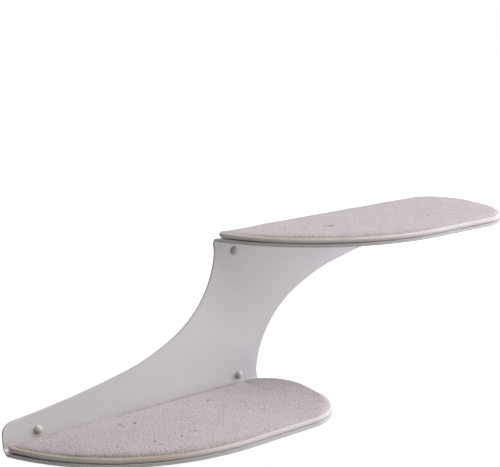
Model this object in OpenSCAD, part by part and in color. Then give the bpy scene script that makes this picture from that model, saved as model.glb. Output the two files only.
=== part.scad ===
// Wall climbing shelf for a cat: one bent sheet with two leaf-shaped levels and two lift-off carpet pads.
// Units are millimetres. X runs along the wall, Y points into the wall, Z is up.
// The origin is the middle of the wall panel, on the face that lies against the wall.

/* [Levels] */
// length of each level along the wall, tip to nose
shelf_length = 600; // [560:5:640]
// depth of each level, wall face to front edge
shelf_depth = 240; // [220:5:260]
// height from the lower level's top face to the upper level's top face
rise = 320; // [300:5:350]
// how far the upper level's tip stands along the wall from the lower level's tip
level_step = 447; // [430:1:470]
// radius of the long front curve that runs into the tip
front_curve_r = 430; // [400:5:480]
// depth that is left at the tip end of each level, wall face to front curve
tip_depth = 20.4; // [19.4:0.5:26.4]
// radius of the front corner at the nose
nose_front_r = 85; // [60:5:95]
// radius of the back corner at the nose
nose_back_r = 110; // [100:5:125]

/* [Sheet] */
// thickness of the bent sheet
sheet_t = 6; // [5:0.5:8]
// inside radius of both folds
bend_r = 10; // [9:1:14]
// radius of the rounded corner on each tail of the wall panel
tail_corner_r = 22; // [12:2:28]
// small radius on the sheet's tip corners
tip_corner_r = 3; // [2:0.5:5]

/* [Panel curve] */
// radius of the flare where the panel edge meets a fold
flare_r = 60; // [50:5:80]
// radius of the tight part of the panel's curve
inner_curve_r = 200; // [190:5:210]
// radius of the middle part of the panel's curve
middle_curve_r = 370; // [350:10:390]
// radius of the long part that runs out along the tail
tail_curve_r = 1600; // [1400:50:1800]

/* [Pads] */
// distance the pad stays inside the sheet's front edge
pad_inset = 1; // [0.5:0.5:4]
// distance from the wall face to the pad's back edge
pad_back = 9; // [9:0.5:14]
// thickness of a bound pad at its edge
pad_t = 9; // [8:0.5:12]
// radius of the pad's tip
pad_tip_r = 13; // [12.5:0.5:16]
// width of the edge binding on the top and bottom of a pad
binding_w = 6.5; // [5:0.5:8]
// thickness of the binding tape
binding_t = 1.2; // [0.8:0.1:1.6]
// outer rounding of the bound edge
binding_r = 3; // [2:0.5:3.5]
// how far the carpet's pile stands above the binding
pile_rise = 3.4; // [2.2:0.2:3.8]
// radius of the pile's rounded shoulder along the binding
shoulder_r = 4.2; // [2:0.2:4.6]
// thickness of the carpet's backing
backing_t = 1.8; // [1:0.2:2.4]

/* [Hook and loop] */
// length of each strip
strip_l = 90; // [60:5:100]
// width of each strip
strip_w = 25; // [16:1:30]
// thickness of the hook strips and of the loop strips
strip_t = 0.7; // [0.7:0.1:1.4]
// gap between hooks and loops when the pad lies in place
strip_gap = 0.3; // [0.3:0.05:0.6]

/* [Fixings] */
// distance of the outer screws from the tip end of each level
screw_tail_x = 66; // [50:1:90]
// distance of the inner screws from the end of each fold
screw_inner_x = 46; // [40:1:60]
// height of the lower screws above the lower level's top face
screw_low_z = 23; // [22.5:0.5:28]
// distance of the upper screws below the upper level's underside
screw_high_z = 27; // [22:0.5:32]
// diameter of the screw holes in the panel
hole_d = 5; // [4.8:0.1:6]
// outside diameter of the screw thread
thread_d = 4.2; // [3.8:0.1:4.4]
// threaded length behind the wall face
thread_l = 26; // [20:1:40]
// diameter of the screw's plain neck
neck_d = 3.4; // [3:0.1:3.6]
// screw head diameter
head_d = 8; // [7:0.2:8.4]
// screw head height
head_h = 2.4; // [2:0.1:2.6]
// diameter of the base washer under the head
washer_d = 13.5; // [12.5:0.5:14]
// thickness of the base washer
washer_t = 1.5; // [1:0.1:1.6]
// wall thickness of the snap cap
cap_wall = 1.1; // [0.8:0.1:1.4]
// full height of the snap cap
cap_h = 6.4; // [6.2:0.1:7.5]
// free space round and under each snap cap
cap_gap = 0.3; // [0.3:0.05:0.5]

/* [Hidden] */
$fn = 128;
// clearance between pieces that are built into one pad
fit = 0.1;
// how far a tighter arc stands proud of the wider one that it runs into, so that the two cross cleanly
proud = 0.02;
// overlap used where an arc's slice joins the shape behind its chord
lap = 4;
// how far the binding is lapped past its ends at a pad's tip, in degrees, and how far the lap stands out
lap_a = 8;
lap_lift = 0.3;
// the same for the pile's shoulder, which runs round in one
shoulder_lift = 0.12;
// the shoulder stops this far before it would touch the pile's flat top, which reaches over it
shoulder_cut = 0.3;

// distance from the wall face to where the flat of each level begins
fold_y = sheet_t + bend_r;
front_cy = front_curve_r - shelf_depth;
// the front curve leaves the tip end at tip_depth; its centre is kept to a tenth of a millimetre
front_cx = round(10 * sqrt(pow(front_curve_r, 2) - pow(front_cy + tip_depth, 2))) / 10;
nose_fx = shelf_length - nose_front_r;
nose_fy = nose_front_r - shelf_depth;
nose_bx = shelf_length - nose_back_r;
nose_by = -nose_back_r;
// each fold ends where the rounded back corner leaves the fold line, to a tenth of a millimetre
fold_l = floor(10 * (nose_bx + sqrt(pow(nose_back_r, 2) - pow(nose_back_r - fold_y, 2))) - 0.5) / 10;
panel_l = level_step + fold_l;
panel_low = bend_r;
panel_high = rise - sheet_t - bend_r;
centre_x = panel_l / 2;
centre_z = (rise - sheet_t) / 2;

// headings of the panel's curve, in degrees from the wall line, where one arc runs into the next
head_fold = 104;
head_flare = 83;
head_inner = 33;
head_middle = 14;
function arc_step(r, from, to) = [r * (sin(to) - sin(from)), r * (cos(from) - cos(to))];
curve_4 = [level_step, panel_high];
curve_3 = curve_4 - arc_step(flare_r, head_flare, head_fold);
curve_2 = curve_3 - arc_step(inner_curve_r, head_inner, head_flare);
curve_1 = curve_2 - arc_step(middle_curve_r, head_middle, head_inner);
// centre of the long tail curve, then of the rounded tail corner that touches it
tail_c = curve_1 + tail_curve_r * [-sin(head_middle), cos(head_middle)];
tail_reach = tail_curve_r + tail_corner_r;
corner_c = [tail_corner_r, tail_c[1] - sqrt(pow(tail_reach, 2) - pow(tail_corner_r - tail_c[0], 2))];
// the tail curve is drawn from a little left of the point where it touches the corner
curve_0x = tail_c[0] + (corner_c[0] - tail_c[0]) * tail_curve_r / tail_reach - lap;
curve_0 = [curve_0x, tail_c[1] - sqrt(pow(tail_curve_r, 2) - pow(curve_0x - tail_c[0], 2))];

// rounded corner at the tip of each level, touching the tip's side and the front curve
tip_reach = front_curve_r - tip_corner_r;
tip_c = [tip_corner_r, front_cy - sqrt(pow(tip_reach, 2) - pow(front_cx - tip_corner_r, 2))];
tip_dir = [tip_c[0] - front_cx, tip_c[1] - front_cy] / tip_reach;

// pad outline: a tip circle that touches the back line and the inset front curve, then two nose corners
pad_front_r = front_curve_r - pad_inset;
pad_tip_cy = -pad_back - pad_tip_r;
pad_reach = pad_front_r - pad_tip_r;
pad_tip_cx = front_cx - sqrt(pow(pad_reach, 2) - pow(front_cy - pad_tip_cy, 2));
pad_tip_dir = [pad_tip_cx - front_cx, pad_tip_cy - front_cy] / pad_reach;
pad_back_r = nose_back_r - pad_back;
pad_nose_cx = shelf_length - pad_inset - pad_back_r;
pad_low = 2 * strip_t + strip_gap;
pad_high = pad_low + pad_t;

// where the pads lie, as [tip x, top face z]
LEVELS = [[0, 0], [level_step, rise]];
// strip centres and turns on each level, as [x, y, turn]
STRIPS = [[150, -60, -14], [300, -165, -8], [360, -50, 0], [495, -125, 90]];
// screw positions, as [x, z]
SCREWS = [
  [screw_tail_x, screw_low_z],
  [fold_l - screw_inner_x, screw_low_z],
  [level_step + screw_inner_x, rise - sheet_t - screw_high_z],
  [panel_l - screw_tail_x, rise - sheet_t - screw_high_z]
];

// node to draw, or all of them

// the slice of a disc beyond the chord from p to q, on the right of the way from p to q
module bulge(p, q, r, out = 0) {
  d = norm(q - p);
  h = sqrt(r * r - d * d / 4);
  back = out > 0 ? 2 * lap : 0;
  translate(p)
    rotate(atan2(q[1] - p[1], q[0] - p[0]))
      intersection() {
        translate([d / 2, h])
          circle(r = r + out, $fn = 256);
        translate([-back, h - r - 1])
          square([d + back, r - h + 1 + lap]);
      }
}

// the space that is cut away above the panel's left curve
module panel_cut() {
  top = rise + 40;
  polygon([curve_0, curve_1, curve_2, curve_3, curve_4, [curve_4[0], top], [curve_0[0], top]]);
  bulge(curve_0, curve_1, tail_curve_r);
  bulge(curve_1, curve_2, middle_curve_r, proud);
  bulge(curve_2, curve_3, inner_curve_r, 2 * proud);
  bulge(curve_3, curve_4, flare_r, 3 * proud);
  difference() {
    translate([-10, corner_c[1]])
      square([10 + corner_c[0], top - corner_c[1]]);
    translate(corner_c)
      circle(r = tail_corner_r + proud);
    polygon([corner_c, curve_0 + [lap + 1, 0], curve_0 + [lap + 1, -40]]);
  }
}

// the flat part of the wall panel, seen from the front
module panel_outline() {
  difference() {
    translate([0, panel_low])
      square([panel_l, panel_high - panel_low]);
    panel_cut();
    translate([centre_x, centre_z])
      rotate(180)
        translate([-centre_x, -centre_z])
          panel_cut();
    for (s = SCREWS)
      translate(s)
        circle(d = hole_d, $fn = 48);
  }
}

// a quarter of a disc whose two straight sides point along x and y from its centre
module quarter(c, r, turn) {
  translate(c)
    rotate(turn)
      intersection() {
        circle(r = r, $fn = 256);
        square(r + 1);
      }
}

// the nose half of a level or a pad: straight front, back and nose, with a rounded corner at each side
module nose_outline(front_y, back_y, nose_x, back_cx) {
  polygon([
    [front_cx, back_y],
    [front_cx, front_y],
    [nose_fx, front_y],
    [nose_fx, nose_fy],
    [nose_x, nose_fy],
    [nose_x, nose_by],
    [back_cx, nose_by],
    [back_cx, back_y]
  ]);
  quarter([nose_fx, nose_fy], nose_fy - front_y, -90);
  intersection() {
    quarter([back_cx, nose_by], nose_x - back_cx, 0);
    translate([back_cx, nose_by])
      square([nose_back_r + 1, back_y - nose_by]);
  }
}

// the tip half of a level or a pad, inside the front curve of radius r, right of a small circle at c
module tip_outline(r, c, out_dir, start) {
  intersection() {
    translate([front_cx, front_cy])
      circle(r = r, $fn = 256);
    polygon([
      start[0],
      start[1],
      c,
      c + 40 * out_dir,
      [c[0] + 40 * out_dir[0], -shelf_depth - 10],
      [front_cx, -shelf_depth - 10],
      [front_cx, start[0][1]]
    ]);
  }
}

// the flat part of one level, seen from above
module level_outline() {
  nose_outline(-shelf_depth, -fold_y, shelf_length, nose_bx);
  tip_outline(front_curve_r, tip_c, tip_dir, [[0, -fold_y], [0, tip_c[1]]]);
  intersection() {
    translate(tip_c)
      circle(r = tip_corner_r + proud, $fn = 64);
    translate([-1, -fold_y - 30])
      square([30, 30]);
  }
}

// a quarter of pipe wall that joins the panel to a level, over the given length
module fold(length) {
  rotate([90, 0, 90])
    linear_extrude(length)
      intersection() {
        difference() {
          circle(r = fold_y);
          circle(r = bend_r);
        }
        translate([0, -fold_y])
          square(fold_y);
      }
}

// one sheet: the wall panel, a fold and a level at the bottom, a fold and a level at the top
module bent_shelf() {
  color([0.76, 0.73, 0.75])
    translate([-centre_x, 0, -centre_z])
      union() {
        rotate([90, 0, 0])
          linear_extrude(sheet_t)
            panel_outline();
        translate([0, -fold_y, bend_r])
          fold(fold_l);
        translate([0, 0, -sheet_t])
          linear_extrude(sheet_t)
            level_outline();
        translate([level_step, -fold_y, rise - fold_y])
          mirror([0, 0, 1])
            fold(fold_l);
        translate([level_step, 0, rise - sheet_t])
          linear_extrude(sheet_t)
            level_outline();
      }
}

// the outline of a pad, drawn in by the given distance
module pad_outline(s) {
  back_y = -pad_back - s;
  tip = [pad_tip_cx, pad_tip_cy];
  nose_outline(pad_inset - shelf_depth + s, back_y, shelf_length - pad_inset - s, pad_nose_cx);
  tip_outline(pad_front_r - s, tip, pad_tip_dir, [[pad_tip_cx, back_y], [pad_tip_cx, back_y - 1]]);
  translate(tip)
    circle(r = pad_tip_r - s + proud, $fn = 96);
}

// moves a piece to its level; 0 is the lower level and 1 the upper one
module on_level(i) {
  translate([LEVELS[i][0] - centre_x, 0, LEVELS[i][1] - centre_z])
    children();
}

// looped carpet: a thin edge that is held in the binding, and a pile whose rounded shoulder runs round inside it
module carpet(i) {
  edge_low = pad_low + binding_t + backing_t + 2 * fit;
  edge_high = pad_high - binding_t - fit;
  color([0.74, 0.70, 0.70])
    on_level(i)
      union() {
        translate([0, 0, edge_low])
          linear_extrude(edge_high - edge_low)
            pad_outline(binding_t + fit);
        translate([0, 0, edge_low])
          linear_extrude(pad_high + pile_rise - edge_low)
            pad_outline(binding_w + fit + shoulder_r - 2 * shoulder_cut);
        translate([0, 0, pad_low])
          round_the_pad("shoulder", shoulder_lift);
      }
}

// section of the pile along the binding: an upright side and a quarter-round shoulder
module shoulder_section(lift) {
  low = binding_t + backing_t + 2 * fit;
  side = binding_w + fit - lift;
  centre = [binding_w + fit + shoulder_r, pad_t + pile_rise - shoulder_r];
  intersection() {
    translate([side, low - lift])
      square([centre[0] - shoulder_cut - side, pad_t + pile_rise + 2 * lift - low]);
    union() {
      translate([side - 1, 0])
        square([shoulder_r + 2, centre[1]]);
      translate(centre)
        circle(r = shoulder_r + lift, $fn = 64);
    }
  }
}

// stiff backing under the carpet: a thin edge that is held in the binding and a middle flush with its underside
module backing(i) {
  edge_low = pad_low + binding_t + fit;
  color([0.55, 0.50, 0.44])
    on_level(i)
      union() {
        translate([0, 0, edge_low])
          linear_extrude(backing_t)
            pad_outline(binding_t + fit);
        translate([0, 0, pad_low])
          linear_extrude(edge_low - pad_low + backing_t / 2)
            pad_outline(binding_w + fit);
      }
}

// section of the binding tape
// lift moves the tape outwards, where one run is lapped over the ends of others
module binding_section(lift) {
  inner = binding_t - lift;
  difference() {
    union() {
      translate([binding_r, -lift])
        square([binding_w - 2 * lift - binding_r, pad_t + 2 * lift]);
      translate([-lift, binding_r])
        square([binding_r + lift, pad_t - 2 * binding_r]);
      for (z = [binding_r, pad_t - binding_r])
        translate([binding_r, z])
          circle(r = binding_r + lift, $fn = 48);
    }
    translate([inner, inner])
      square([binding_w, pad_t - 2 * inner]);
  }
}

// the section of what runs round a pad; x is the distance from the pad's outline, inwards
module edge_section(kind, lift) {
  if (kind == "binding")
    binding_section(lift);
  else
    shoulder_section(lift);
}

// one curved run about the centre c, from angle a for b degrees
module edge_arc(kind, c, r, a, b, lift = 0) {
  translate([c[0], c[1], 0])
    rotate([0, 0, a])
      rotate_extrude(angle = b, $fn = 256)
        translate([r, 0])
          mirror([1, 0])
            edge_section(kind, lift);
}

// one straight run from p to q, with the pad on the left
module edge_run(kind, p, q) {
  translate([p[0], p[1], 0])
    rotate([0, 0, atan2(q[1] - p[1], q[0] - p[0])])
      rotate([90, 0, 90])
        linear_extrude(norm(q - p))
          edge_section(kind, 0);
}

// a section carried round the whole edge of a pad; at the tip it is lapped over its own ends
module round_the_pad(kind, lift) {
  front_a = atan2(pad_tip_dir[1], pad_tip_dir[0]);
  nose_x = shelf_length - pad_inset;
  front_y = pad_inset - shelf_depth;
  edge_arc(kind, [pad_tip_cx, pad_tip_cy], pad_tip_r, 90 - lap_a, 270 + front_a + 2 * lap_a, lift);
  translate([front_cx, front_cy, 0])
    mirror([0, 1, 0])
      edge_arc(kind, [0, 0], pad_front_r, 90, -90 - front_a);
  edge_run(kind, [front_cx, front_y], [nose_fx, front_y]);
  edge_arc(kind, [nose_fx, nose_fy], nose_front_r - pad_inset, -90, 90);
  edge_run(kind, [nose_x, nose_fy], [nose_x, nose_by]);
  edge_arc(kind, [pad_nose_cx, nose_by], pad_back_r, 0, 90);
  edge_run(kind, [pad_nose_cx, -pad_back], [pad_tip_cx, -pad_back]);
}

// binding tape that wraps the whole edge of a pad
module binding(i) {
  color([0.78, 0.75, 0.70])
    on_level(i)
      translate([0, 0, pad_low])
        union() {
          round_the_pad("binding", lap_lift);
        }
}

// four flat strips laid out on a level
module strips(i, low) {
  on_level(i)
    for (s = STRIPS)
      translate([s[0], s[1], low])
        rotate([0, 0, s[2]])
          translate([-strip_l / 2, -strip_w / 2, 0])
            cube([strip_l, strip_w, strip_t]);
}

module hook_strips(i) {
  color([0.25, 0.24, 0.24])
    strips(i, 0);
}

module loop_strips(i) {
  color([0.30, 0.29, 0.29])
    strips(i, strip_t + strip_gap);
}

// moves a turned piece to a screw; its z axis then points out of the wall panel
module at_screw(i, out) {
  translate([SCREWS[i][0] - centre_x, -sheet_t - out, SCREWS[i][1] - centre_z])
    rotate([90, 0, 0])
      children();
}

// pan-head wall screw with a cross recess, a plain neck through the panel and a thread behind it
module screw(i) {
  thread_top = washer_t + sheet_t + 0.3;
  tip_l = 4;
  color([0.70, 0.70, 0.72])
    at_screw(i, washer_t)
      difference() {
        union() {
          cylinder(d = head_d, h = head_h, $fn = 48);
          translate([0, 0, -thread_top])
            cylinder(d = neck_d, h = thread_top + 1, $fn = 48);
          translate([0, 0, -thread_top - thread_l])
            cylinder(d = thread_d, h = thread_l, $fn = 48);
          translate([0, 0, -thread_top - thread_l - tip_l])
            cylinder(d1 = 0.8, d2 = thread_d, h = tip_l, $fn = 48);
        }
        for (a = [0, 90])
          rotate(a)
            translate([-2.2, -0.5, head_h - 1.3])
              cube([4.4, 1, 2]);
      }
}

// round base washer that spreads the screw's load and carries the snap cap
module washer(i) {
  color([0.80, 0.78, 0.76])
    at_screw(i, 0)
      difference() {
        cylinder(d = washer_d, h = washer_t, $fn = 64);
        translate([0, 0, -1])
          cylinder(d = neck_d + 1, h = washer_t + 2, $fn = 48);
      }
}

// domed snap cap that hides the screw head
module cap(i) {
  rim_r = washer_d / 2 + cap_gap + cap_wall;
  side_h = washer_t + cap_gap;
  dome_h = cap_h - cap_gap - side_h;
  dome_r = (rim_r * rim_r + dome_h * dome_h) / (2 * dome_h);
  color([0.80, 0.77, 0.76])
    at_screw(i, cap_gap)
      rotate_extrude($fn = 96)
        difference() {
          union() {
            square([rim_r, side_h]);
            intersection() {
              translate([0, side_h + dome_h - dome_r])
                circle(r = dome_r);
              translate([0, side_h])
                square([rim_r, dome_h + 1]);
            }
          }
          translate([0, -1])
            square([rim_r - cap_wall, side_h + 1]);
          intersection() {
            translate([0, side_h + dome_h - dome_r])
              circle(r = dome_r - cap_wall);
            translate([0, side_h - 0.5])
              square([rim_r - cap_wall, dome_h + 1]);
          }
        }
}

bent_shelf();
carpet(0);  // lower_carpet
backing(0);  // lower_backing
binding(0);  // lower_binding
loop_strips(0);  // lower_loop_strips
hook_strips(0);  // lower_hook_strips
carpet(1);  // upper_carpet
backing(1);  // upper_backing
binding(1);  // upper_binding
loop_strips(1);  // upper_loop_strips
hook_strips(1);  // upper_hook_strips
screw(0);  // screw_lower_left
screw(1);  // screw_lower_right
screw(2);  // screw_upper_left
screw(3);  // screw_upper_right
washer(0);  // washer_lower_left
washer(1);  // washer_lower_right
washer(2);  // washer_upper_left
washer(3);  // washer_upper_right
cap(0);  // cap_lower_left
cap(1);  // cap_lower_right
cap(2);  // cap_upper_left
cap(3);  // cap_upper_right
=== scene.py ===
import math

import bmesh
import bpy
import numpy as np
from mathutils import Matrix, Vector
from mathutils.kdtree import KDTree


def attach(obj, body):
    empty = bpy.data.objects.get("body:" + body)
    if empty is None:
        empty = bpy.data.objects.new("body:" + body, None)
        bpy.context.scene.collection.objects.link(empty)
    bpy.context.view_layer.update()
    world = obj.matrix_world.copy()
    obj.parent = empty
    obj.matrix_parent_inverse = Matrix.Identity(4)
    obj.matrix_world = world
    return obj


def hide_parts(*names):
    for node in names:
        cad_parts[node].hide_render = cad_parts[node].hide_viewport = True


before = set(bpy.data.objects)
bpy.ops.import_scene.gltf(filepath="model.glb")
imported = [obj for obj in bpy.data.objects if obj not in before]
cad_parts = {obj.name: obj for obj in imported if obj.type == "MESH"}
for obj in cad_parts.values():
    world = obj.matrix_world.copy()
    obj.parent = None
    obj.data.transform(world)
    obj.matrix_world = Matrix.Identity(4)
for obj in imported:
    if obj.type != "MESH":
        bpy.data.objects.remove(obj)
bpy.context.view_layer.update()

scene = bpy.context.scene

# Metres. Each level has its own x from its tip, y from the wall's face, negative into the room, and z from its top
# face. CENTRE is the shared frame's origin, given as x and z on the lower level.
CENTRE = (0.497, 0.157)
LEVEL = {"lower": (0.0, 0.0), "upper": (0.447, 0.320)}

# the bent sheet: its thickness, and how far from the wall's face the folds end
SHEET_T, FOLD_Y = 0.006, 0.016

# a pad's underside and its top face at the binding, and their middle
PAD_LOW, PAD_HIGH = 0.0017, 0.0107
PAD_MIDDLE = (PAD_LOW + PAD_HIGH) / 2
# a pad's outline, as centres and radii: the tip, the front curve and the two corners of the nose
TIP, TIP_R = (0.0170726, -0.0220), 0.013
FRONT, FRONT_R = (0.375, 0.190), 0.429
NOSE_FRONT, NOSE_FRONT_R = (0.515, -0.155), 0.084
NOSE_BACK, NOSE_BACK_R = (0.498, -0.110), 0.101
# the rectangle that holds the outline, where the grids of points start
GRID_X, GRID_Y = (0.002, 0.604), (-0.243, -0.004)
# how far the tip curls up, and how far the front and the nose sag
CURL, SAG = 0.0019, 0.0008

# the binding tape's width and thickness, and how far inside the outline its stitches run
TAPE_W, TAPE_T = 0.0065, 0.0012
STITCH_S = 0.0036
# how far inside the outline the pile's edge starts, over the tape, and where the pile ends below
PILE_S = 0.0052
PILE_LOW = PAD_LOW + TAPE_T + 0.0022
# the height of the loops, and of the crown that the cloth simulation gives the pile
LOOP_H, CROWN_H = 0.0010, 0.0018
PILE_SEED = {"lower": 11, "upper": 27}
# dark flecks and tufts on each pile, as x, y and darkness
FLECKS = {
    "lower": [(0.2264, -0.0718, 1.0), (0.2020, -0.0596, 0.7), (0.2018, -0.0697, 0.45), (0.3902, -0.0639, 0.8),
              (0.2693, -0.1674, 0.8), (0.2203, -0.1566, 0.6), (0.2988, -0.1638, 0.6), (0.1581, -0.1358, 0.5),
              (0.455, -0.160, 0.4), (0.520, -0.090, 0.35)],
    "upper": [(0.1928, -0.1158, 0.9), (0.1872, -0.1110, 0.9), (0.320, -0.072, 0.5), (0.412, -0.168, 0.6),
              (0.500, -0.115, 0.5), (0.262, -0.190, 0.4), (0.1985, -0.1145, 0.9), (0.1960, -0.1190, 0.9),
              (0.2030, -0.1185, 0.8)],
}

# hook and loop strips: centres and turns on each level, then length, width, thickness and corner radius
STRIPS = [(0.150, -0.060, -14), (0.300, -0.165, -8), (0.360, -0.050, 0), (0.495, -0.125, 90)]
STRIP_L, STRIP_W, STRIP_T, STRIP_R = 0.090, 0.025, 0.0007, 0.004
# where the loop strips start above the level: a hook strip's thickness and the gap between hooks and loops
LOOP_LOW = 0.0010


# ---------------------------------------------------------------- points and meshes
def ramp(values, length):
    """0 up to a value of 0, then rising evenly to 1 at the length."""
    return np.clip(values / length, 0, 1)


def lift(p):
    """A pad's tip curls up a little beyond its first strip; its front and nose sag towards the sheet."""
    tip = ramp(0.085 - p[:, 0], 0.075)
    front = ramp(-p[:, 1] - 0.192, 0.040) * ramp(p[:, 0] - 0.10, 0.10)
    nose = ramp(p[:, 0] - 0.518, 0.060)
    sag = np.maximum(front, nose)
    p[:, 2] += CURL * tip * tip - SAG * sag * sag * (3 - 2 * sag)
    return p


def to_frame(points, level, curl=True):
    """Level coordinates to the shared frame; what lies on a pad follows its curl."""
    p = np.array(points, float)
    if curl:
        p = lift(p)
    x, z = LEVEL[level]
    return p + np.array([x - CENTRE[0], 0.0, z - CENTRE[1]])


def mesh_object(name, points, faces):
    mesh = bpy.data.meshes.new(name)
    mesh.from_pydata([tuple(p) for p in points], [], [tuple(int(i) for i in f) for f in faces])
    mesh.validate()
    mesh.update()
    mesh.polygons.foreach_set("use_smooth", [True] * len(mesh.polygons))
    obj = bpy.data.objects.new(name, mesh)
    scene.collection.objects.link(obj)
    return obj


def add_value(obj, name, values):
    """A named value for each point, which a material reads; points past the given ones get 0."""
    full = np.zeros(len(obj.data.vertices), np.float32)
    full[:len(values)] = values
    obj.data.attributes.new(name, "FLOAT", "POINT").data.foreach_set("value", full)


def add_uv(obj, name, uv_of_vertex):
    layer = obj.data.uv_layers.new(name=name)
    index = np.empty(len(obj.data.loops), np.int32)
    obj.data.loops.foreach_get("vertex_index", index)
    layer.data.foreach_set("uv", np.array(uv_of_vertex, np.float32)[index].ravel())


def wave(t, seed, parts, period):
    """Smooth noise along t that repeats after the period: the sum of a few seeded sines."""
    rng = np.random.default_rng(seed)
    out = np.zeros_like(t)
    for k, amp in parts:
        out += amp * np.sin(2 * np.pi * k * t / period + rng.uniform(0, 2 * np.pi))
    return out


def arc(centre, r, from_a, to_a, n):
    """Points of an arc, in degrees, with their outward normals."""
    a = np.radians(np.linspace(from_a, to_a, n))
    return np.column_stack([centre[0] + r * np.cos(a), centre[1] + r * np.sin(a), np.cos(a), np.sin(a)])


def line(p, q, n):
    """Points of a straight run with their normals, which lie on its right."""
    t = np.linspace(0, 1, n)[:, None]
    p, q = np.array(p), np.array(q)
    d = (q - p) / np.linalg.norm(q - p)
    return np.column_stack([p + t * (q - p), np.full(n, d[1]), np.full(n, -d[0])])


def pad_edge(step):
    """Points of a pad's outline with their outward normals, an even step apart, starting at the tip's back."""
    turn = math.degrees(math.atan2(TIP[1] - FRONT[1], TIP[0] - FRONT[0])) + 360
    front_y = FRONT[1] - FRONT_R
    nose_x = NOSE_FRONT[0] + NOSE_FRONT_R
    back_y = NOSE_BACK[1] + NOSE_BACK_R
    rows = np.vstack([
        arc(TIP, TIP_R, 90, turn, 60)[:-1],
        arc(FRONT, FRONT_R, turn, 270, 400)[:-1],
        line((FRONT[0], front_y), (NOSE_FRONT[0], front_y), 60)[:-1],
        arc(NOSE_FRONT, NOSE_FRONT_R, -90, 0, 120)[:-1],
        line((nose_x, NOSE_FRONT[1]), (nose_x, NOSE_BACK[1]), 30)[:-1],
        arc(NOSE_BACK, NOSE_BACK_R, 0, 90, 140)[:-1],
        line((NOSE_BACK[0], back_y), (TIP[0], back_y), 200),
    ])
    along = np.concatenate([[0], np.cumsum(np.linalg.norm(np.diff(rows[:, :2], axis=0), axis=1))])
    length = along[-1]
    n = int(round(length / step))
    t = np.arange(n) * length / n
    out = np.column_stack([np.interp(t, along, rows[:, k]) for k in range(4)])
    out[:, 2:] /= np.linalg.norm(out[:, 2:], axis=1)[:, None]
    return out, t, length


EDGE = pad_edge(0.002)[0]


def depth_inside(xy):
    """How far points lie inside a pad's outline, which is convex, and the nearest edge point."""
    depth = np.empty(len(xy))
    who = np.empty(len(xy), int)
    reach = (EDGE[:, :2] * EDGE[:, 2:]).sum(1)[None]
    batch = 20000
    for s in range(0, len(xy), batch):
        d = reach - xy[s:s + batch] @ EDGE[:, 2:].T
        who[s:s + batch] = d.argmin(1)
        depth[s:s + batch] = d.min(1)
    return depth, who


def grid_inside(step, rim, phase=0.0):
    """A grid cut to the pad's outline drawn in by rim: points, quads, depth inside."""
    xs = np.arange(GRID_X[0] + phase, GRID_X[1], step)
    ys = np.arange(GRID_Y[0] + phase, GRID_Y[1], step)
    gx, gy = np.meshgrid(xs, ys, indexing="ij")
    xy = np.column_stack([gx.ravel(), gy.ravel()])
    d, who = depth_inside(xy)
    # points a little outside the rim are drawn onto it
    outer = rim - 1.3 * step
    near = (d < rim) & (d > outer)
    xy[near] -= EDGE[who[near], 2:] * (rim - d[near])[:, None]
    ok = (d > outer).reshape(gx.shape)
    core = (d >= rim).reshape(gx.shape)
    n = len(ys)
    i, j = np.meshgrid(np.arange(len(xs) - 1), np.arange(n - 1), indexing="ij")
    use = ok[:-1, :-1] & ok[1:, :-1] & ok[:-1, 1:] & ok[1:, 1:]
    use &= core[:-1, :-1] | core[1:, :-1] | core[:-1, 1:] | core[1:, 1:]
    a = (i * n + j)[use]
    quads = np.column_stack([a, a + n, a + n + 1, a + 1])
    keep = np.unique(quads)
    new = np.full(len(xy), -1)
    new[keep] = np.arange(len(keep))
    xy = xy[keep]
    return xy, new[quads], depth_inside(xy)[0]


def border(quads):
    """The edges that only one quad has, each in its quad's direction."""
    ends = np.roll(quads, -1, axis=1)
    key = np.minimum(quads, ends) * (quads.max() + 1) + np.maximum(quads, ends)
    _, back, count = np.unique(key.ravel(), return_inverse=True, return_counts=True)
    alone = (count[back.ravel()] == 1).reshape(quads.shape)
    return [(int(a), int(b)) for a, b in zip(quads[alone], ends[alone])]


def sweep(name, level, rows_s, rows_z, step, bend):
    """A closed band round the pad: each section point lies rows_s inside the outline at height rows_z."""
    edge, t, length = pad_edge(step)
    n, m = len(edge), len(rows_s)
    s, z = bend(np.tile(rows_s, (n, 1)), np.tile(rows_z, (n, 1)), t, length)
    x = edge[:, 0, None] - edge[:, 2, None] * s
    y = edge[:, 1, None] - edge[:, 3, None] * s
    pts = np.stack([x, y, z], 2).reshape(-1, 3)
    i, j = np.meshgrid(np.arange(n), np.arange(m), indexing="ij")
    here, ahead = i * m, ((i + 1) % n) * m
    beside = (j + 1) % m
    faces = np.stack([here + j, here + beside, ahead + beside, ahead + j], 2).reshape(-1, 4)
    obj = mesh_object(name, to_frame(pts, level), faces)
    v = np.concatenate([[0], np.cumsum(np.hypot(np.diff(rows_s), np.diff(rows_z)))])
    add_uv(obj, "cloth", np.column_stack([np.repeat(t, m), np.tile(v, n)]))
    return obj


# ---------------------------------------------------------------- material tools
def start(name):
    mat = bpy.data.materials.new(name)
    mat.use_nodes = True
    tree = mat.node_tree
    shader = next(n for n in tree.nodes if n.type == "BSDF_PRINCIPLED")
    return mat, tree, shader


def settings(shader, **values):
    """Uniform values for the shader's sockets; an underscore in a name stands for a space."""
    for name, value in values.items():
        shader.inputs[name.replace("_", " ")].default_value = value


def place(tree, scale=(1, 1, 1), turn=0.0, uv=None):
    """Object coordinates in metres, or a piece's cloth coordinates, scaled and turned."""
    if uv:
        coord = tree.nodes.new("ShaderNodeUVMap")
        coord.uv_map = uv
        out = coord.outputs[0]
    else:
        out = tree.nodes.new("ShaderNodeTexCoord").outputs["Object"]
    mapping = tree.nodes.new("ShaderNodeMapping")
    mapping.inputs["Scale"].default_value = scale
    mapping.inputs["Rotation"].default_value = (0, 0, math.radians(turn))
    tree.links.new(out, mapping.inputs["Vector"])
    return mapping.outputs[0]


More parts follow.
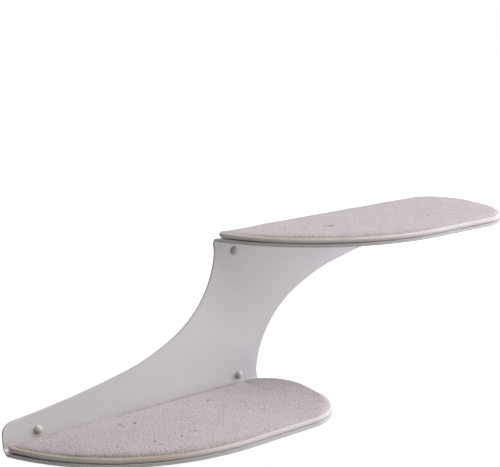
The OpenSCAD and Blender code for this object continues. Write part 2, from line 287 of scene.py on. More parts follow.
def drawn(tree, turn, lengths):
    """Coordinates for a pattern drawn out along a direction: lengths are the sizes of its features in metres."""
    mapping = tree.nodes.new("ShaderNodeMapping")
    mapping.vector_type = "TEXTURE"
    mapping.inputs["Scale"].default_value = lengths
    mapping.inputs["Rotation"].default_value = (0, 0, math.radians(turn))
    tree.links.new(tree.nodes.new("ShaderNodeTexCoord").outputs["Object"], mapping.inputs["Vector"])
    return mapping.outputs[0]


def axes(tree, vector):
    """The three parts of a vector."""
    split = tree.nodes.new("ShaderNodeSeparateXYZ")
    tree.links.new(vector, split.inputs[0])
    return split.outputs


def painted(tree, name):
    """A value that the mesh carries for each point."""
    node = tree.nodes.new("ShaderNodeAttribute")
    node.attribute_name = name
    return node.outputs["Fac"]


def noise(tree, where, scale, detail=2.0, rough=0.5):
    node = tree.nodes.new("ShaderNodeTexNoise")
    settings(node, Scale=scale, Detail=detail, Roughness=rough)
    tree.links.new(where, node.inputs["Vector"])
    return node.outputs["Fac"]


def cells(tree, where, scale, jitter=1.0):
    node = tree.nodes.new("ShaderNodeTexVoronoi")
    settings(node, Scale=scale, Randomness=jitter)
    tree.links.new(where, node.inputs["Vector"])
    return node


def bands(tree, where, **values):
    """Soft parallel bands."""
    node = tree.nodes.new("ShaderNodeTexWave")
    node.wave_type, node.bands_direction, node.wave_profile = "BANDS", "X", "SIN"
    settings(node, **values)
    tree.links.new(where, node.inputs["Vector"])
    return node.outputs["Fac"]


def span(tree, value, low, high, to_low=0.0, to_high=1.0, smooth=False):
    node = tree.nodes.new("ShaderNodeMapRange")
    if smooth:
        node.interpolation_type = "SMOOTHSTEP"
    for key, number in zip(("From Min", "From Max", "To Min", "To Max"), (low, high, to_low, to_high)):
        node.inputs[key].default_value = number
    tree.links.new(value, node.inputs["Value"])
    return node.outputs["Result"]


def maths(tree, how, a, b=None):
    node = tree.nodes.new("ShaderNodeMath")
    node.operation = how
    for k, value in enumerate((a, b)):
        if value is None:
            continue
        if isinstance(value, (int, float)):
            node.inputs[k].default_value = value
        else:
            tree.links.new(value, node.inputs[k])
    return node.outputs[0]


def total(tree, base, extra, share):
    """The base value plus a share of another one."""
    return maths(tree, "ADD", base, maths(tree, "MULTIPLY", extra, share))


def blend(tree, fac, a, b):
    node = tree.nodes.new("ShaderNodeMix")
    node.data_type = "RGBA"
    if isinstance(fac, (int, float)):
        node.inputs[0].default_value = fac
    else:
        tree.links.new(fac, node.inputs[0])
    for k, value in ((6, a), (7, b)):
        if isinstance(value, tuple):
            node.inputs[k].default_value = (*value, 1)
        else:
            tree.links.new(value, node.inputs[k])
    return node.outputs[2]


def bump(tree, shader, height, strength, distance):
    node = tree.nodes.new("ShaderNodeBump")
    settings(node, Strength=strength, Distance=distance)
    tree.links.new(height, node.inputs["Height"])
    tree.links.new(node.outputs[0], shader.inputs["Normal"])


# ---------------------------------------------------------------- materials
def sheet_material():
    """Glossy off-white lacquered sheet with faint orange peel, a few dull wipe marks, and duller cut edges that are
    darkened with painted shade.
    """
    mat, tree, shader = start("sheet_gloss")
    link = tree.links.new
    here = place(tree)
    # a cut edge is where the face turns away from the panel's or the level's own direction, or looks along x
    normal = axes(tree, tree.nodes.new("ShaderNodeNewGeometry").outputs["True Normal"])
    depth = axes(tree, here)[1]
    slack = 0.0001
    panel = maths(tree, "GREATER_THAN", depth, -SHEET_T - slack)
    flat = maths(tree, "LESS_THAN", depth, -FOLD_Y - slack)
    nx, ny, nz = (maths(tree, "ABSOLUTE", part) for part in normal[:3])
    cut_panel = maths(tree, "MULTIPLY", panel, maths(tree, "SUBTRACT", 1.0, ny))
    cut_level = maths(tree, "MULTIPLY", flat, maths(tree, "SUBTRACT", 1.0, nz))
    cut_end = maths(tree, "GREATER_THAN", nx, 0.97)
    cut = maths(tree, "MAXIMUM", maths(tree, "MAXIMUM", cut_panel, cut_level), cut_end)
    tone = noise(tree, here, 3.2, 3)
    base = blend(tree, span(tree, tone, 0.3, 0.7), (0.700, 0.687, 0.684), (0.735, 0.721, 0.722))
    speck = noise(tree, here, 420, 2)
    base = blend(tree, span(tree, speck, 0.62, 0.74, 0, 0.10), base, (0.61, 0.59, 0.58))
    # painted shade: every cut edge is darkened toward an olive grey
    base = blend(tree, maths(tree, "MULTIPLY", cut, 0.8), base, (0.48, 0.48, 0.44))
    link(base, shader.inputs["Base Color"])
    wipe = noise(tree, place(tree, scale=(1, 1, 2.5), turn=20), 9, 4, 0.6)
    link(total(tree, span(tree, wipe, 0.3, 0.7, 0.15, 0.22), cut, 0.40), shader.inputs["Roughness"])
    peel = noise(tree, here, 260, 1)
    saw = maths(tree, "MULTIPLY", noise(tree, here, 900, 2), cut)
    height = total(tree, maths(tree, "MULTIPLY", peel, 0.25), saw, 0.9)
    bump(tree, shader, height, 0.10, 0.0004)
    settings(shader, Specular_IOR_Level=0.62, Coat_Weight=0.15, Coat_Roughness=0.22)
    return mat


def berber_material():
    """Looped wool-blend pile: loops of slightly different off-white, painted shade in the hollows, along a ragged band
    at the rim and in a line by the wall, and dark flecks.
    """
    mat, tree, shader = start("berber_loops")
    link = tree.links.new
    here = place(tree)
    loops = cells(tree, place(tree, scale=(1.0, 0.85, 0.6), turn=12), 260)
    tint = tree.nodes.new("ShaderNodeSeparateColor")
    link(loops.outputs["Color"], tint.inputs[0])
    base = blend(tree, tint.outputs[0], (0.466, 0.421, 0.417), (0.497, 0.451, 0.447))
    patch = noise(tree, here, 11, 3)
    base = blend(tree, span(tree, patch, 0.35, 0.7, 0, 0.30), base, (0.430, 0.384, 0.384))
    streak = noise(tree, drawn(tree, -33, (0.030, 0.0085, 0.02)), 1.0, 2, 0.55)
    base = blend(tree, span(tree, streak, 0.42, 0.68, 0, 0.34), base, (0.395, 0.350, 0.350))
    fibre = noise(tree, place(tree, scale=(1, 3.0, 1), turn=-20), 900, 3, 0.65)
    base = blend(tree, span(tree, fibre, 0.35, 0.65, 0.0, 0.16), base, (0.42, 0.37, 0.37))
    # painted shade in the hollows between the loops
    hollow_shade = maths(tree, "MULTIPLY", painted(tree, "hollow_shade"), 0.20)
    base = blend(tree, hollow_shade, base, (0.265, 0.230, 0.205))
    # painted shade: a ragged band along the rim and a line along the wall
    rim = maths(tree, "MULTIPLY", painted(tree, "rim"), 0.85)
    base = blend(tree, rim, base, (0.225, 0.190, 0.160))
    base = blend(tree, painted(tree, "fleck"), base, (0.07, 0.052, 0.052))
    link(base, shader.inputs["Base Color"])
    link(span(tree, fibre, 0.3, 0.7, 0.86, 0.98), shader.inputs["Roughness"])
    yarn = maths(tree, "SUBTRACT", 1.0, loops.outputs["Distance"])
    height = total(tree, maths(tree, "MULTIPLY", yarn, 0.8), fibre, 0.35)
    bump(tree, shader, height, 0.15, 0.0006)
    settings(shader, Specular_IOR_Level=0.2, Sheen_Weight=0.18, Sheen_Roughness=0.5,
             Sheen_Tint=(1.0, 0.95, 0.97, 1))
    return mat


def tape_material():
    """Twill binding tape in warm off-white, faintly mottled, woven across its length, with lighter patches of wear and
    painted shade on its top and towards its tip.
    """
    mat, tree, shader = start("binding_twill")
    link = tree.links.new
    here = place(tree)
    # a wave texture's bands lie 0.314 / scale apart, here 3.5 mm and 2.6 mm
    rib, cross = (bands(tree, place(tree, uv="cloth", turn=turn), Scale=scale, Distortion=0.6, Detail=1.0)
                  for turn, scale in ((45, 560 / 6.3), (-38, 760 / 6.3)))
    weave = total(tree, maths(tree, "MULTIPLY", rib, 0.7), cross, 0.3)
    soil_and_shade = noise(tree, here, 26, 4, 0.6)
    base = blend(tree, span(tree, soil_and_shade, 0.35, 0.7), (0.680, 0.640, 0.648), (0.630, 0.588, 0.585))
    base = blend(tree, span(tree, weave, 0.2, 0.8, 0.22, 0.0), base, (0.45, 0.40, 0.37))
    # painted shade on the tape's rolled top and towards its tip
    base = blend(tree, painted(tree, "soil_and_shade"), base, (0.410, 0.358, 0.250))
    wear_and_shade = noise(tree, place(tree, uv="cloth"), 55, 3)
    base = blend(tree, span(tree, wear_and_shade, 0.58, 0.8, 0, 0.20), base, (0.74, 0.71, 0.715))
    link(base, shader.inputs["Base Color"])
    link(span(tree, weave, 0, 1, 0.78, 0.66), shader.inputs["Roughness"])
    bump(tree, shader, total(tree, weave, noise(tree, here, 1400, 2), 0.4), 0.35, 0.0003)
    settings(shader, Specular_IOR_Level=0.3, Sheen_Weight=0.12, Sheen_Roughness=0.4)
    return mat


def thread_material():
    """Twisted polyester thread."""
    mat, tree, shader = start("sewing_thread")
    link = tree.links.new
    twist = noise(tree, place(tree, scale=(1, 2.5, 1), turn=30), 1600, 1)
    tone = noise(tree, place(tree), 40, 2)
    base = blend(tree, span(tree, tone, 0.3, 0.7), (0.631, 0.582, 0.569), (0.684, 0.642, 0.631))
    base = blend(tree, span(tree, twist, 0.4, 0.7, 0, 0.4), base, (0.42, 0.38, 0.33))
    link(base, shader.inputs["Base Color"])
    link(span(tree, twist, 0.3, 0.7, 0.45, 0.6), shader.inputs["Roughness"])
    bump(tree, shader, twist, 0.3, 0.0002)
    return mat


def scrim_material():
    """Coarse woven backing cloth with latex showing between the threads."""
    mat, tree, shader = start("scrim_weave")
    link = tree.links.new
    # threads 2.9 mm apart, both ways
    warp, weft = (bands(tree, place(tree, turn=turn), Scale=110, Distortion=0.9, Detail=2.0, Detail_Scale=1.5)
                  for turn in (0, 90))
    weave = maths(tree, "MAXIMUM", warp, weft)
    tone = noise(tree, place(tree), 14, 4, 0.6)
    base = blend(tree, span(tree, tone, 0.3, 0.7), (0.36, 0.30, 0.225), (0.44, 0.375, 0.285))
    base = blend(tree, span(tree, weave, 0.35, 0.8, 0.75, 0.0), base, (0.25, 0.215, 0.17))
    hair = noise(tree, place(tree, scale=(4, 1, 1)), 700, 3)
    base = blend(tree, span(tree, hair, 0.5, 0.8, 0, 0.35), base, (0.52, 0.46, 0.36))
    link(base, shader.inputs["Base Color"])
    link(span(tree, weave, 0, 1, 0.9, 0.75), shader.inputs["Roughness"])
    bump(tree, shader, total(tree, weave, hair, 0.3), 0.6, 0.0006)
    return mat


def grip_material(name, dark, light, scale, jitter, strength):
    """Hook or loop tape: a field of small dots or curls on a darker ground, with some lint."""
    mat, tree, shader = start(name)
    link = tree.links.new
    here = place(tree)
    dots = cells(tree, here, scale, jitter).outputs["Distance"]
    curl = noise(tree, here, scale * 1.7, 3, 0.6)
    base = blend(tree, span(tree, dots, 0.15, 0.6, 0.0, 0.8), light, dark)
    base = blend(tree, span(tree, curl, 0.45, 0.7, 0, 0.35), base, light)
    lint = noise(tree, here, 60, 4, 0.7)
    base = blend(tree, span(tree, lint, 0.60, 0.72, 0, 0.25), base, (0.35, 0.33, 0.32))
    link(base, shader.inputs["Base Color"])
    link(span(tree, curl, 0.3, 0.7, 0.6, 0.8), shader.inputs["Roughness"])
    bump(tree, shader, total(tree, maths(tree, "SUBTRACT", 1.0, dots), curl, 0.4), strength, 0.0006)
    settings(shader, Sheen_Weight=0.1)
    return mat


def cap_material():
    """Moulded plastic, satin, with faint flow marks and light scuffs on the dome."""
    mat, tree, shader = start("cap_plastic")
    link = tree.links.new
    flow = noise(tree, place(tree, scale=(1, 1, 2)), 60, 3)
    base = blend(tree, span(tree, flow, 0.3, 0.7), (0.490, 0.460, 0.420), (0.525, 0.497, 0.460))
    scuff = noise(tree, place(tree, scale=(6, 1, 1), turn=35), 210, 3, 0.7)
    base = blend(tree, span(tree, scuff, 0.60, 0.75, 0, 0.3), base, (0.50, 0.475, 0.445))
    link(base, shader.inputs["Base Color"])
    link(span(tree, scuff, 0.3, 0.7, 0.26, 0.42), shader.inputs["Roughness"])
    bump(tree, shader, total(tree, flow, scuff, 0.4), 0.05, 0.0005)
    return mat


def washer_material():
    """Cloudy nylon, matt on its flat faces."""
    mat, tree, shader = start("washer_nylon")
    link = tree.links.new
    here = place(tree)
    cloud = noise(tree, here, 120, 3)
    base = blend(tree, span(tree, cloud, 0.3, 0.7), (0.56, 0.545, 0.515), (0.63, 0.615, 0.59))
    link(base, shader.inputs["Base Color"])
    mark = noise(tree, here, 700, 2)
    link(span(tree, mark, 0.3, 0.7, 0.38, 0.52), shader.inputs["Roughness"])
    bump(tree, shader, mark, 0.08, 0.0004)
    return mat


def screw_material():
    """Zinc-plated steel, cloudy on the head, with the thread's ridges along the shank behind the panel and painted
    shade in their roots.
    """
    mat, tree, shader = start("screw_zinc")
    link = tree.links.new
    here = place(tree)
    along = axes(tree, here)[1]
    pitch = 0.0034
    ridge = maths(tree, "ABSOLUTE", maths(tree, "SINE", maths(tree, "MULTIPLY", along, 2 * math.pi / pitch)))
    behind = maths(tree, "GREATER_THAN", along, 0.0005)
    thread = maths(tree, "MULTIPLY", ridge, behind)
    cloud = noise(tree, here, 260, 3)
    base = blend(tree, span(tree, cloud, 0.3, 0.7), (0.56, 0.56, 0.57), (0.66, 0.66, 0.65))
    # painted shade in the thread's roots
    root_shade = maths(tree, "MULTIPLY", span(tree, thread, 0.0, 0.35, 1.0, 0.0), behind)
    base = blend(tree, root_shade, base, (0.30, 0.30, 0.31))
    link(base, shader.inputs["Base Color"])
    link(span(tree, cloud, 0.3, 0.7, 0.28, 0.45), shader.inputs["Roughness"])
    bump(tree, shader, total(tree, thread, cloud, 0.1), 0.5, 0.0006)
    settings(shader, Metallic=1.0)
    return mat


def wear(obj, mat):
    obj.data.materials.clear()
    obj.data.materials.append(mat)
    obj.data.polygons.foreach_set("material_index", [0] * len(obj.data.polygons))


def cad_wears(node, mat):
    """A material for a CAD node that keeps its shape."""
    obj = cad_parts[node]
    if not obj.material_slots:
        obj.data.materials.append(mat)
    for slot in obj.material_slots:
        slot.material = mat


# ---------------------------------------------------------------- the pads' pile
def swell():
    """The pile's crown from a cloth simulation: a closed thin pillow, held at its rim and underneath and blown up."""
    step, frames = 0.0075, 20
    held_s, low_z, high_z = 0.0062, 0.0095, 0.0112
    xy, quads, d = grid_inside(step, held_s)
    n = len(xy)
    top_z = high_z + 0.0012 * ramp(d - held_s, 0.012) ** 0.5
    points = np.vstack([np.column_stack([xy, top_z]), np.column_stack([xy, np.full(n, low_z)])])
    rim = border(quads)
    sides = [(a, a + n, b + n, b) for a, b in rim]
    obj = mesh_object("swell_form", points, [*quads, *(quads[:, ::-1] + n), *sides])
    held = obj.vertex_groups.new(name="held")
    held.add([a for a, _ in rim] + list(range(n, 2 * n)), 1.0, "REPLACE")
    stiff = obj.vertex_groups.new(name="stiff")
    uneven = 0.35 + 0.65 * np.random.default_rng(4).random(2 * n)
    for i, weight in enumerate(uneven):
        stiff.add([i], float(weight), "REPLACE")
    mod = obj.modifiers.new("cloth", "CLOTH")
    s = mod.settings
    s.vertex_group_mass = "held"
    s.quality = 6
    s.mass = 0.25
    s.use_pressure = True
    s.uniform_pressure_force = 4.0
    s.tension_stiffness = s.compression_stiffness = 12
    s.shear_stiffness = 6
    s.bending_stiffness = 2.0
    s.vertex_group_bending = "stiff"
    s.bending_stiffness_max = 6.0
    s.effector_weights.gravity = 0
    mod.collision_settings.use_collision = False
    mod.collision_settings.use_self_collision = False
    for f in range(frames):
        scene.frame_set(f + 1)
    done = obj.evaluated_get(bpy.context.evaluated_depsgraph_get())
    high = np.array([v.co.z for v in done.data.vertices])[:n]
    scene.frame_set(1)
    bpy.data.objects.remove(obj)
    rise = np.clip(high - top_z, 0.0, None)
    return xy, rise / max(rise.max(), 1e-6) * CROWN_H


def spread(coarse, xy):
    """Values of a coarse set of points carried to finer ones by distance weights."""
    pts, val = coarse
    tree = KDTree(len(pts))
    for i, p in enumerate(pts):
        tree.insert((p[0], p[1], 0), i)
    tree.balance()
    out = np.empty(len(xy))
    for i, p in enumerate(xy):
        near = tree.find_n((p[0], p[1], 0), 6)
        w = np.array([1 / (x[2] + 1e-4) ** 2 for x in near])
        out[i] = (w * val[[x[1] for x in near]]).sum() / w.sum()
    return out


def loop_field(xy, seed):
    """Height of the looped yarn, 0 in the hollows to 1 on a loop's crown: loops stand in wavering rows."""
    rng = np.random.default_rng(seed)
    row, gap = 0.0053, 0.0046
    turn = math.radians(78)
    c, s = math.cos(turn), math.sin(turn)
    # moved by a metre, so that every row and loop has a positive number
    u = (xy[:, 0] * c - xy[:, 1] * s) + 0.0012 * np.sin(xy[:, 0] * 41 + seed) + 1.0
    v = (xy[:, 0] * s + xy[:, 1] * c) + 0.0010 * np.sin(xy[:, 1] * 63 + seed) + 1.0
    reach = 2.2
    nu, nv = int(reach / gap), int(reach / row)
    ju = rng.uniform(-0.33, 0.33, (nv, nu)) * gap
    jv = rng.uniform(-0.22, 0.22, (nv, nu)) * row
    tall = rng.uniform(0.72, 1.0, (nv, nu))
    best = np.zeros(len(xy))
    iu0, iv0 = np.floor(u / gap).astype(int), np.floor(v / row).astype(int)
    for a in (-1, 0, 1):
        for b in (-1, 0, 1):
            iu, iv = iu0 + a, iv0 + b
            cu = (iu + 0.5 + 0.5 * (iv % 2)) * gap + ju[iv, iu]
            cv = (iv + 0.5) * row + jv[iv, iu]
            q = ((u - cu) / (0.66 * gap)) ** 2 + ((v - cv) / (0.60 * row)) ** 2
            best = np.maximum(best, tall[iv, iu] * np.clip(1 - q, 0, None) ** 0.6)
    return best


def pile_top(which, xy, d, loops, crown):
    """Height of the pile: a shoulder that rolls up from the tape, the swollen crown, slow waves and the loops."""
    x, y = xy.T
    seed = PILE_SEED[which]
    lean, shoulder_w, shoulder_h = 0.0014, 0.0130, 0.0056
    # loops at the rim lean out over the tape, so the pile's edge is ragged
    inner = d + lean * loops
    t = ramp(inner - PILE_S, shoulder_w)
    roll = np.clip(1 - (1 - t) ** 2, 0, 1)
    tall = 0.45 + 0.55 * ramp(x - 0.025, 0.09)
    shoulder = shoulder_h * tall * (0.55 * np.sqrt(roll) + 0.45 * roll)
    rise = spread(crown, xy) * ramp(d - PILE_S, 0.011)
    if which == "lower":
        # pressed a little flatter in front of the nearest snap cap, which has to come off straight
        rise -= 0.0028 * np.exp(-((x - 0.501) / 0.014) ** 2) * ramp(y + 0.075, 0.035)
    slow = 0.0003 * np.sin(x * 57 + seed) * np.sin(y * 49 + 2 * seed)
    slow += 0.0002 * np.sin(x * 131 + 3 * seed) * np.sin(y * 118 + seed)
    live = ramp(inner - PILE_S + 0.0002, 0.003)
    z = PAD_HIGH - 0.0012 + shoulder + rise + (slow + LOOP_H * loops) * live
    # what lies outside the ragged edge is tucked under the tape
    return np.where(inner < PILE_S, PAD_HIGH - TAPE_T - 0.0005, z)


def pile_painted_shade(which, xy, d, loops):
    """Painted shade on the pile: a ragged band at its rim, fainter towards the nose, and a line along the wall."""
    x, y = xy.T
    side = 0.6 + 0.4 * np.sin(x * 230 + 1.7 * np.sin(x * 91)) * np.sin(y * 190)
    patchy = 0.75 + 0.25 * np.sin(x * 143 + PILE_SEED[which]) * np.sin(x * 37 + 1.0)
    # painted shade where the pile rolls down to the tape, ragged and patchy
    band = np.exp(-(np.clip(d - PILE_S, 0, 1) / (0.0022 + 0.0034 * side)) ** 2)
    soil_and_shade = band * patchy * (0.42 + 0.58 * (1 - loops) ** 0.7)
    soil_and_shade += 0.27 * np.exp(-((d - 0.013) / 0.008) ** 2) * (0.45 + 0.55 * side) * patchy
    # the painted shade fades out towards the nose and is weaker on the upper pad
    soil_and_shade *= np.clip(1.25 - x / 0.36, 0, 1) * (1.0 if which == "lower" else 0.65)
    # painted shade where the pile dips behind its crown along the wall; the lower pad's dark line there ends at the
    # screws
    deep = 0.76 if which == "lower" else 0.30
    back = deep * np.exp(-((y + 0.0205) / 0.0070) ** 2) * (0.8 + 0.2 * side)
    soil_and_shade += back * ramp(x - 0.185, 0.05) * ramp(0.49 - x, 0.05)
    return np.clip(soil_and_shade, 0, 1)


def pile_flecks(which, xy):
    """Small dark ovals, each turned its own way."""
    rng = np.random.default_rng(PILE_SEED[which])
    long, short = 0.0028, 0.0019
    fleck = np.zeros(len(xy))
    for x, y, dark in FLECKS[which]:
        turn = rng.uniform(0, math.pi)
        dx, dy = xy[:, 0] - x, xy[:, 1] - y
        a = dx * math.cos(turn) + dy * math.sin(turn)
        b = -dx * math.sin(turn) + dy * math.cos(turn)
        spot = 1.5 * dark * np.exp(-((a / long) ** 2 + (b / short) ** 2))
        fleck = np.maximum(fleck, np.clip(spot, 0, dark))
    return fleck


def make_pile(which, crown):
    step = 0.00125
    rim, phase = 0.0030, 0.0003 if which == "upper" else 0.0
    xy, quads, d = grid_inside(step, rim, phase)
    loops = loop_field(xy, PILE_SEED[which])
    top = np.column_stack([xy, pile_top(which, xy, d, loops, crown)])
    # the rim is closed by a short wall, and a coarse underside closes the pile on the backing
    n = len(xy)
    foot = {}
    wall = []
    for a, b in border(quads):
        for p in (a, b):
            foot.setdefault(p, n + len(foot))
        wall.append((a, foot[a], foot[b], b))
    low = np.column_stack([xy[list(foot)], np.full(len(foot), PILE_LOW)])
    obj = mesh_object(which + "_pad_pile", to_frame(np.vstack([top, low]), which), [*quads, *wall])
    bm = bmesh.new()
    bm.from_mesh(obj.data)
    bmesh.ops.contextual_create(bm, geom=[e for e in bm.edges if len(e.link_faces) == 1])
    bmesh.ops.triangulate(bm, faces=[f for f in bm.faces if len(f.verts) > 4])
    bmesh.ops.recalc_face_normals(bm, faces=bm.faces)
    bm.to_mesh(obj.data)
    bm.free()
    obj.data.polygons.foreach_set("use_smooth", [True] * len(obj.data.polygons))
    # painted shade in the hollows between the loops
    add_value(obj, "hollow_shade", np.clip(1 - loops * 1.6, 0, 1) * 0.8)
    # painted shade in a ragged band along the rim and in a line along the wall
    add_value(obj, "rim", pile_painted_shade(which, xy, d, loops))
    add_value(obj, "fleck", pile_flecks(which, xy))
    return obj


# ---------------------------------------------------------------- the binding and its stitches
def tape_section():
    """The tape's section: under lip, rolled edge, top lip and back along its inside; s inwards, z up from its foot."""
    under = [(s, 0.0) for s in np.linspace(TAPE_W, 0.0026, 7)]
    roll = []
    for a in np.linspace(-86, 86, 25):
        r, half, flat = (0.0042, 0.0047, 0.92) if a > 0 else (0.0024, 0.0042, 0.80)
        a = math.radians(a)
        roll.append((r - r * math.cos(a) ** flat, 0.0042 + half * math.sin(a)))
    top = [(s, 0.0089 + (s - 0.0044) * 0.05) for s in np.linspace(0.0044, TAPE_W, 5)]
    inside = [(TAPE_W, 0.0079), (0.0042, 0.0078), (0.0022, 0.0074), (0.0013, 0.0062), (0.0013, 0.0045),
              (0.0013, 0.0028), (0.0022, 0.0016), (0.0042, 0.0012), (TAPE_W, 0.0011)]
    s, z = np.array(under + roll + top + inside).T
    return s, z + PAD_LOW


def tape_bend(seed):
    """How the tape departs from its even section: wavy side and lips, a groove under the stitches, and a lap."""
    # how far the side and the lips waver, how deep the lips and the groove are pressed in
    side_w, lip_w, lip_h, groove_h = 0.00022, 0.00035, 0.00035, 0.00028
    # the lapped joint's length and height, and how soon it rises
    lap_l, lap_h, lap_rise = 0.030, 0.0003, 0.0012

    def bend(s, z, t, length):
        side = wave(t, seed, [(7, 0.5), (13, 0.35), (29, 0.3), (61, 0.2)], length)[:, None]
        lip = wave(t, seed + 1, [(11, 0.4), (37, 0.4), (83, 0.3), (151, 0.25)], length)[:, None]
        s = s - np.clip(1 - s / 0.0034, 0, 1) * side_w * side
        edge = ramp(s - 0.0052, 0.0013)
        s = s + edge * lip_w * lip
        up = np.sign(z - PAD_MIDDLE)
        groove = np.exp(-((s - STITCH_S) / 0.0007) ** 2) * (np.abs(z - PAD_MIDDLE) > 0.0043)
        z = z - up * groove_h * groove
        z = z - up * lip_h * edge
        # at the tip the outer end stands a little proud of what it covers
        lap = (ramp(t, lap_rise) * ramp(lap_l - t, lap_rise))[:, None]
        s = s - lap * lap_h * (s < 0.0045)
        z = z + up * lap * lap_h
        return s, z
    return bend


def make_tape(which):
    s, z = tape_section()
    step = 0.0016
    obj = sweep(which + "_pad_binding", which, s, z, step, tape_bend(3 if which == "lower" else 8))
    co = np.array([v.co for v in obj.data.vertices])
    x, y = co[:, 0] + CENTRE[0] - LEVEL[which][0], co[:, 1]
    high = co[:, 2] + CENTRE[1] - LEVEL[which][1] - PAD_LOW
    # painted shade: darker towards the tip along the front, and on the rolled top
    wear_and_shade = np.clip(1.35 - x / 0.34, 0, 1) * ramp(-y - 0.006, 0.006)
    top = ramp(high - 0.0062, 0.0016)
    # the lower tape has the most painted shade where the front turns; the upper one's top loses it towards its nose
    if which == "lower":
        wear_and_shade += 1.2 * np.exp(-((x - 0.225) / 0.060) ** 2)
        ground = 0.18
    else:
        ground = 0.06 * ramp(0.36 - x, 0.12)
    add_value(obj, "soil_and_shade", np.clip(0.12 * wear_and_shade + top * (ground + 0.30 * wear_and_shade), 0, 1))
    return obj


def make_stitches(which):
    """One thread segment for each stitch, above and under the tape, sunk at both ends."""
    rng = np.random.default_rng(5 if which == "lower" else 6)
    fine, steps, sides = 0.0005, 5, 6
    half, thick, arch_h, sunk = 0.0016, 0.00030, 0.00022, 0.00012
    edge, t, length = pad_edge(fine)
    count = round(length / 0.0046)
    pitch = length / count
    ring = [(math.cos(a), math.sin(a)) for a in np.linspace(0, 2 * np.pi, sides, endpoint=False)]
    pts, faces = [], []
    for side, level_z in ((1, PAD_HIGH - 0.00032), (-1, PAD_LOW + 0.00028)):
        for k in range(count):
            mid = (k + 0.5) * pitch + rng.uniform(-0.0002, 0.0002)
            base = len(pts)
            for i in range(steps):
                f = i / (steps - 1)
                j = int(round((mid - half + f * 2 * half) % length / fine)) % len(edge)
                p, n = edge[j, :2], edge[j, 2:]
                arch = math.sin(math.pi * f)
                r = thick * (0.55 + 0.45 * arch)
                centre = p - n * (STITCH_S + rng.uniform(-0.0001, 0.0001))
                z = level_z + side * (arch_h * arch - sunk)
                for a, b in ring:
                    q = centre - n * a * r
                    pts.append((q[0], q[1], z + b * r))
            for i in range(steps - 1):
                for j in range(sides):
                    a0, a1 = base + i * sides + j, base + i * sides + (j + 1) % sides
                    faces.append((a0, a1, a1 + sides, a0 + sides))
            faces.append(tuple(base + j for j in range(sides - 1, -1, -1)))
            faces.append(tuple(base + (steps - 1) * sides + j for j in range(sides)))
    return mesh_object(which + "_pad_stitches", to_frame(pts, which), faces)


def make_backing(which):
    """Woven backing with a slight quilted wave, flush with the tape underneath."""
    step = 0.004
    xy, quads, d = grid_inside(step, TAPE_W + 0.0002)
    seed = 3 if which == "lower" else 9
    ripple = 0.00012 * np.sin(xy[:, 0] * 160 + seed) * np.sin(xy[:, 1] * 145 + seed)
    calm = ramp(d - TAPE_W, 0.006)
    n = len(xy)
    low = np.column_stack([xy, PAD_LOW + 0.00035 - 0.0003 * calm + ripple * calm])
    top = np.column_stack([xy, np.full(n, PAD_LOW + TAPE_T + 0.0020)])
    wall = [(a, b, b + n, a + n) for a, b in border(quads)]
    faces = [*quads[:, ::-1], *(quads + n), *wall]
    return mesh_object(which + "_pad_backing", to_frame(np.vstack([low, top]), which), faces)


# ---------------------------------------------------------------- hook and loop strips
def make_strips(name, which, low, seed):
    """Four strips with rounded corners and a slightly uneven face."""
    rng = np.random.default_rng(seed)
    nx, ny = 46, 13
    half = nx * ny
    dents = 0.00012
    gx, gy = np.meshgrid(np.linspace(-1, 1, nx), np.linspace(-1, 1, ny), indexing="ij")
    x, y = gx * STRIP_L / 2, gy * STRIP_W / 2
    edge = np.minimum(STRIP_L / 2 - np.abs(x), STRIP_W / 2 - np.abs(y))
    soft = ramp(edge, 0.0008)
    # the square corners of the grid are drawn in to round ones
    qx = np.clip(np.abs(x) - (STRIP_L / 2 - STRIP_R), 0, None)
    qy = np.clip(np.abs(y) - (STRIP_W / 2 - STRIP_R), 0, None)
    q = np.hypot(qx, qy)
    k = np.where((q > 1e-9) & (qx > 0) & (qy > 0), np.maximum(qx, qy) / np.maximum(q, 1e-9), 1)
    x = np.sign(x) * (np.abs(x) - qx + qx * k)
    y = np.sign(y) * (np.abs(y) - qy + qy * k)
    rim = [i * ny for i in range(nx)] + [(nx - 1) * ny + j for j in range(1, ny)]
    rim += [i * ny + ny - 1 for i in range(nx - 2, -1, -1)] + [j for j in range(ny - 2, 0, -1)]
    pts, faces = [], []
    for cx, cy, turn in STRIPS:
        a = math.radians(turn)
        base = len(pts)
        top = low + STRIP_T * (0.72 + 0.28 * soft) - rng.uniform(0, dents, x.shape) * soft
        bottom = low + STRIP_T * 0.10 * (1 - soft)
        px, py = cx + x * math.cos(a) - y * math.sin(a), cy + x * math.sin(a) + y * math.cos(a)
        for z in (top, bottom):
            pts += list(zip(px.ravel(), py.ravel(), z.ravel()))
        for i in range(nx - 1):
            for j in range(ny - 1):
                p = base + i * ny + j
                faces.append((p, p + ny, p + ny + 1, p + 1))
                faces.append((p + half, p + half + 1, p + half + ny + 1, p + half + ny))
        for here, there in zip(rim, rim[1:] + rim[:1]):
            p, q = base + here, base + there
            faces.append((p, p + half, q + half, q))
    return mesh_object(name, to_frame(pts, which, curl=False), faces)


# ---------------------------------------------------------------- put it together
sheet = sheet_material()
berber = berber_material()
twill = tape_material()
thread = thread_material()
scrim = scrim_material()
hooks = grip_material("hook_tape", (0.035, 0.034, 0.036), (0.10, 0.098, 0.10), 620, 0.35, 0.8)
curls = grip_material("loop_tape", (0.055, 0.053, 0.055), (0.14, 0.135, 0.135), 900, 1.0, 0.45)

